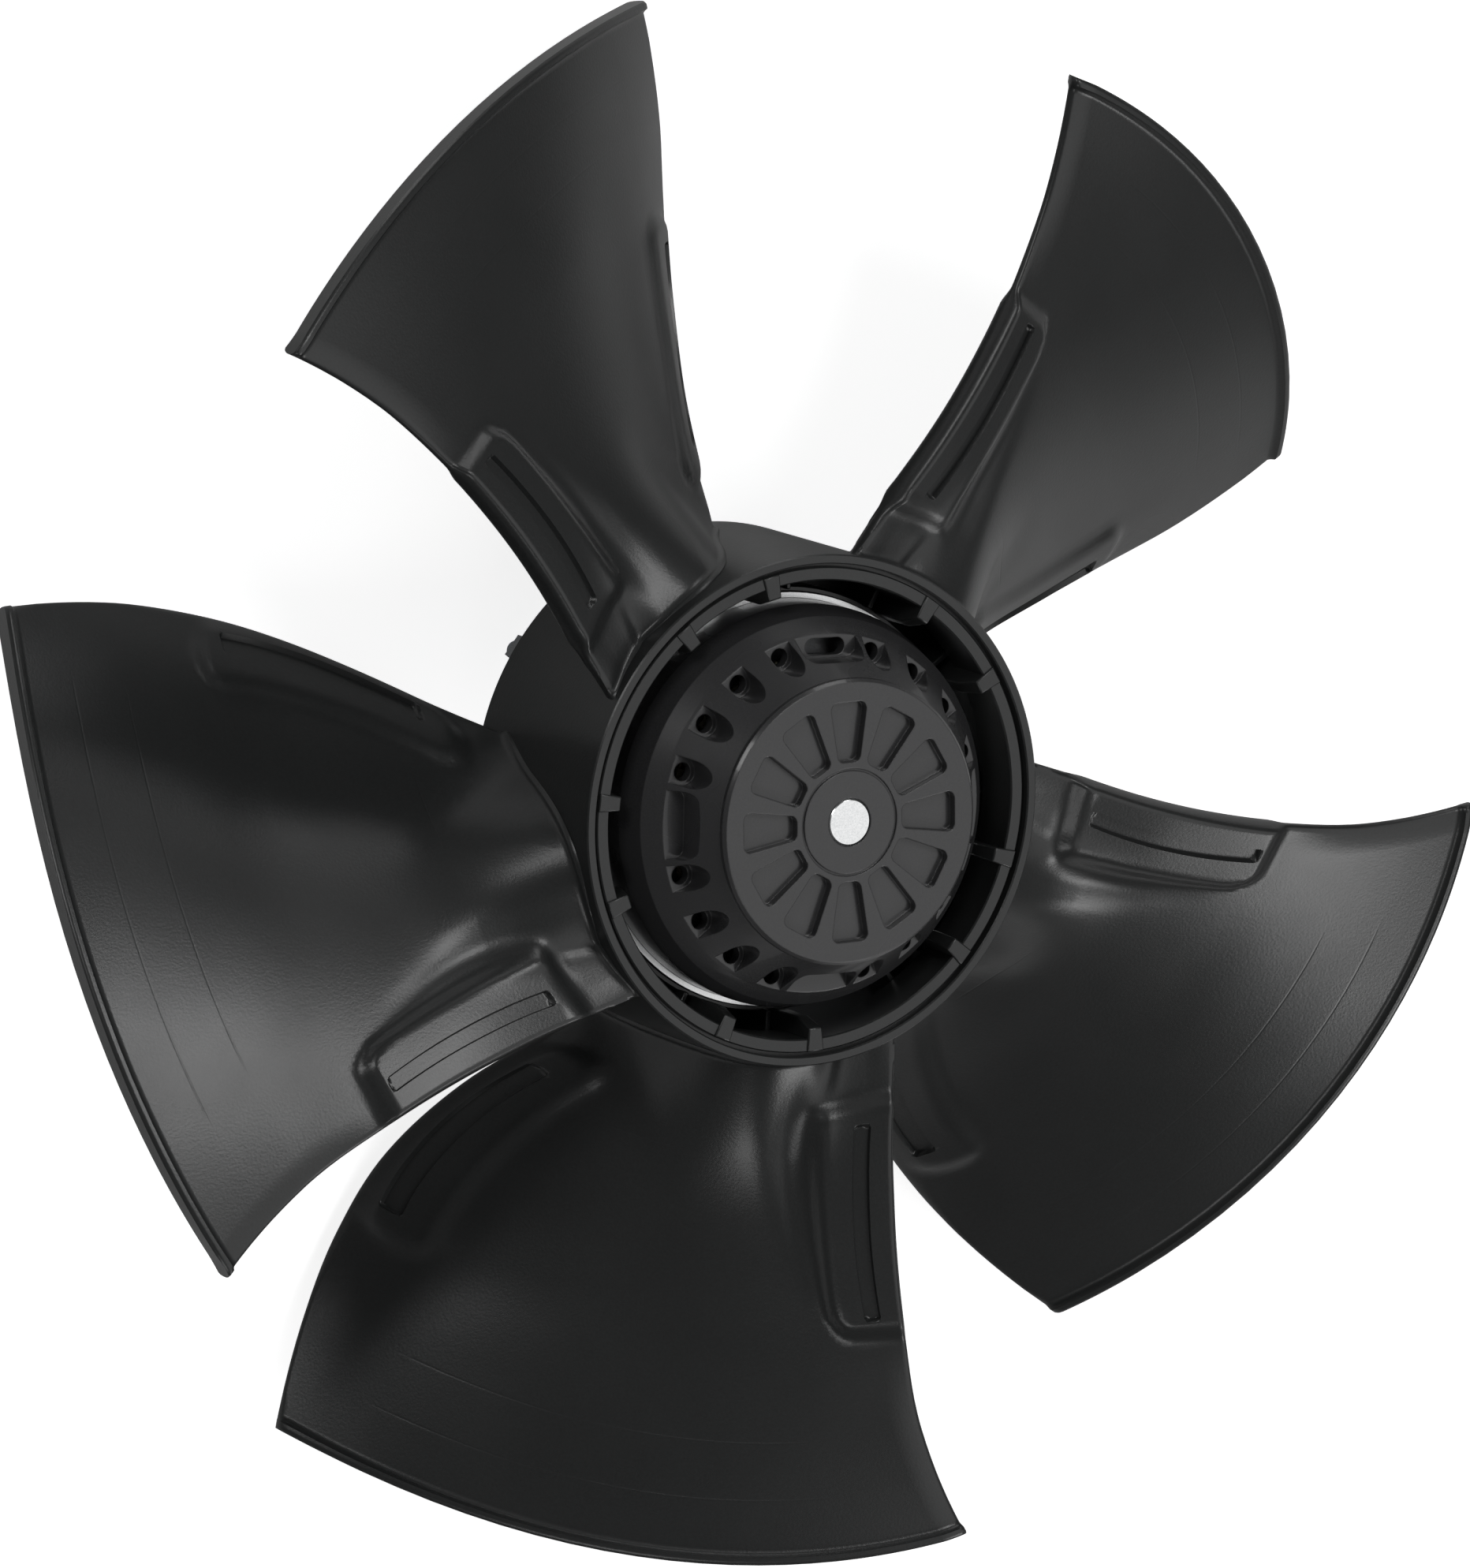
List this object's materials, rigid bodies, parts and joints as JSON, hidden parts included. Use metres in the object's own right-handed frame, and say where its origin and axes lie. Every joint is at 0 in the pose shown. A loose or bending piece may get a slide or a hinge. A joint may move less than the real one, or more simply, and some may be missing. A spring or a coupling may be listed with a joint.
{
  "type": "axial fan impeller with external rotor motor",
  "caption": "Axial fan impeller with swept cambered blades on a ring hub, held on the turning bell of a flange-mounted external rotor motor.",
  "frame": {"origin": "centre of the motor flange's back face, the face that bolts to a support plate", "axes": "+Z along the fan axis from the mounting face to the rotor's domed front; the impeller turns about Z; +X points between two of the four bolt holes, towards the side of the cable gland"},
  "size_m": [0.4492, 0.45, 0.1287],
  "materials": {
    "impeller_plastic": "satin moulded, near black",
    "stainless_steel": "bright rolled edge",
    "black_paint": "satin black coating",
    "lamination_steel": "stacked sheet steel",
    "cast_aluminium": "die cast, fine blasted",
    "ground_steel": "ground",
    "spring_steel": "dark oiled",
    "seal_rubber": "matt",
    "zinc_plate": "zinc plated",
    "insulation_plastic": "glass filled, natural",
    "enamelled_copper": "enamelled wire, varnished",
    "slot_paper": "varnished paper",
    "gland_plastic": "satin"
  },
  "bodies": {
    "stator": {"motor_flange": "cast_aluminium", "stator_core": "lamination_steel", "front_end_plate": "insulation_plastic", "rear_end_plate": "insulation_plastic", "winding": "enamelled_copper", "slot_wedges": "slot_paper", "front_bearing_outer_ring": "ground_steel", "rear_bearing_outer_ring": "ground_steel", "wave_spring": "spring_steel", "bore_cover": "zinc_plate", "gland_body": "gland_plastic", "gland_nut": "gland_plastic", "earth_screw": "zinc_plate", "earth_washer": "zinc_plate"},
    "rotor": {"impeller": "impeller_plastic", "clamp_ring": "stainless_steel", "rotor_bell": "black_paint", "rotor_core": "lamination_steel", "rotor_cage": "cast_aluminium", "shaft": "ground_steel", "shaft_circlip": "spring_steel", "front_bearing_inner_ring": "ground_steel", "rear_bearing_inner_ring": "ground_steel", "dust_seal": "seal_rubber"}
  },
  "joints": [
    {"name": "fan_spin", "type": "hinge", "parent": "stator", "child": "rotor", "pos_m": [0, 0, 0.05], "axis": [0, 0, 1], "continuous": true}
  ]
}
